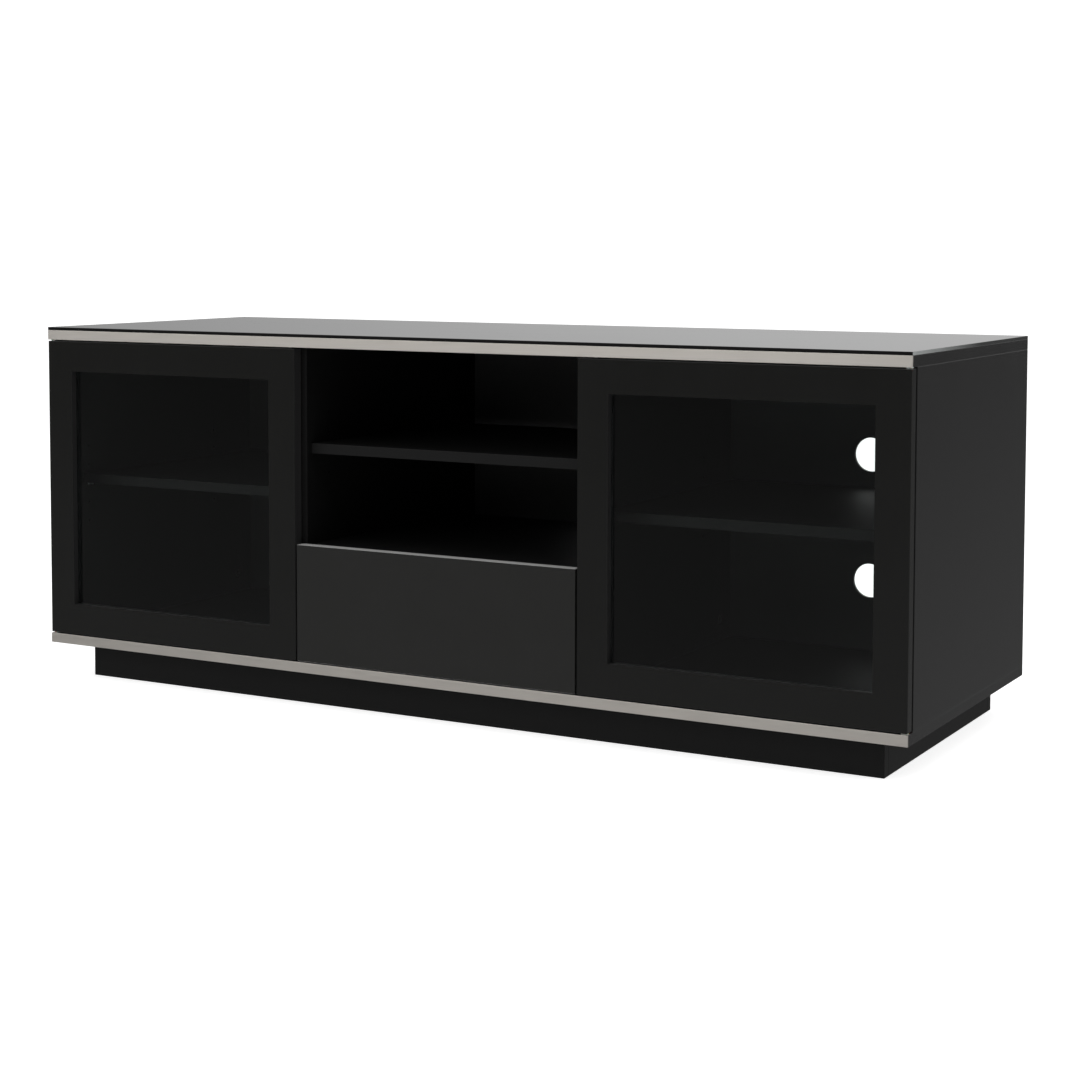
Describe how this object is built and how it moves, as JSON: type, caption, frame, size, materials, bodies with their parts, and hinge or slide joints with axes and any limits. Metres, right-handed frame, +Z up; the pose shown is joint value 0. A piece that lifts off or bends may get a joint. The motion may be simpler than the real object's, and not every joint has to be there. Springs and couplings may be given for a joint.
{
  "type": "media cabinet",
  "caption": "Low media cabinet with a black glass top, framed glass doors on both sides, an open middle bay with a shelf over a drawer, metal trims and a recessed plinth.",
  "frame": {"origin": "centre of the cabinet's footprint, on the floor", "axes": "+X to the right along the front, +Y towards the back (the doors face -Y), +Z up"},
  "size_m": [1.5, 0.54, 0.59],
  "materials": {
    "black_glass": "toughened float glass, back painted black, polished edges",
    "gloss_black_board": "fibreboard with a high-gloss black foil",
    "black_board": "fibreboard with a satin black foil",
    "back_board": "thin fibreboard, black lacquered",
    "plinth_board": "fibreboard with a satin black foil",
    "brushed_trim": "brushed along its length, anodised",
    "raw_wood": "bare beech",
    "drawer_board": "fibreboard with a matt dark foil",
    "door_glass": "clear, lightly smoked",
    "black_plastic": "moulded",
    "nylon": "moulded",
    "steel": "zinc plated",
    "zinc": "die cast",
    "clear_rubber": "soft"
  },
  "bodies": {
    "root": {"top_panel": "gloss_black_board", "bottom_panel": "gloss_black_board", "side_panel_left": "gloss_black_board", "side_panel_right": "gloss_black_board", "divider_left": "black_board", "divider_right": "black_board", "glass_top": "black_glass", "glass_pads": "clear_rubber", "top_trim": "brushed_trim", "bottom_trim": "brushed_trim", "bay_floor": "black_board", "bay_shelf": "black_board", "shelf_left": "black_board", "shelf_right": "black_board", "shelf_pegs": "steel", "back_panel_left": "back_board", "back_panel_centre": "back_board", "back_panel_right": "back_board", "carcass_screws": "steel", "plinth_front": "plinth_board", "plinth_rear": "plinth_board", "plinth_side_left": "plinth_board", "plinth_side_right": "plinth_board", "plinth_brace": "plinth_board", "plinth_blocks": "raw_wood", "cam_locks": "zinc", "cam_bolts": "steel", "dowels": "raw_wood", "pivot_bushes": "nylon", "latch_housing_left": "black_plastic", "latch_housing_right": "black_plastic", "latch_housing_drawer": "black_plastic", "runner_outer_left": "steel", "runner_outer_right": "steel"},
    "door_left": {"door_frame_left": "gloss_black_board", "door_glass_left": "door_glass", "glass_bead_left": "black_plastic", "pivot_pins_left": "steel", "strike_plate_left": "steel", "door_buffers_left": "clear_rubber"},
    "door_right": {"door_frame_right": "gloss_black_board", "door_glass_right": "door_glass", "glass_bead_right": "black_plastic", "pivot_pins_right": "steel", "strike_plate_right": "steel", "door_buffers_right": "clear_rubber"},
    "drawer": {"drawer_front": "gloss_black_board", "drawer_inner_front": "drawer_board", "drawer_side_left": "drawer_board", "drawer_side_right": "drawer_board", "drawer_back": "drawer_board", "drawer_base": "drawer_board", "drawer_screws": "steel", "runner_inner_left": "steel", "runner_inner_right": "steel"},
    "runner_middles": {"runner_middle_left": "steel", "runner_middle_right": "steel"},
    "latch_plunger_left": {"latch_plunger_left": "nylon"},
    "latch_plunger_right": {"latch_plunger_right": "nylon"},
    "latch_plunger_drawer": {"latch_plunger_drawer": "nylon"}
  },
  "joints": [
    {"name": "door_left_hinge", "type": "hinge", "parent": "root", "child": "door_left", "pos_m": [-0.743, -0.262, 0.3225], "axis": [0, 0, -1], "range_deg": [0, 110]},
    {"name": "door_right_hinge", "type": "hinge", "parent": "root", "child": "door_right", "pos_m": [0.743, -0.262, 0.3225], "axis": [0, 0, 1], "range_deg": [0, 110]},
    {"name": "drawer_slide", "type": "slide", "parent": "root", "child": "drawer", "axis": [0, -1, 0], "range_m": [0, 0.4]},
    {"name": "runner_middles_slide", "type": "slide", "parent": "root", "child": "runner_middles", "axis": [0, -1, 0], "range_m": [0, 0.2]},
    {"name": "latch_left_push", "type": "slide", "parent": "root", "child": "latch_plunger_left", "axis": [0, -1, 0], "range_m": [0, 0.02]},
    {"name": "latch_right_push", "type": "slide", "parent": "root", "child": "latch_plunger_right", "axis": [0, -1, 0], "range_m": [0, 0.02]},
    {"name": "latch_drawer_push", "type": "slide", "parent": "root", "child": "latch_plunger_drawer", "axis": [0, -1, 0], "range_m": [0, 0.02]}
  ],
  "couplings": [
    {"joint": "runner_middles_slide", "follows": "drawer_slide", "ratio": 0.5},
    {"joint": "latch_left_push", "follows": "door_left_hinge", "m_per_rad": 0.0104},
    {"joint": "latch_right_push", "follows": "door_right_hinge", "m_per_rad": 0.0104},
    {"joint": "latch_drawer_push", "follows": "drawer_slide", "ratio": 0.05}
  ]
}
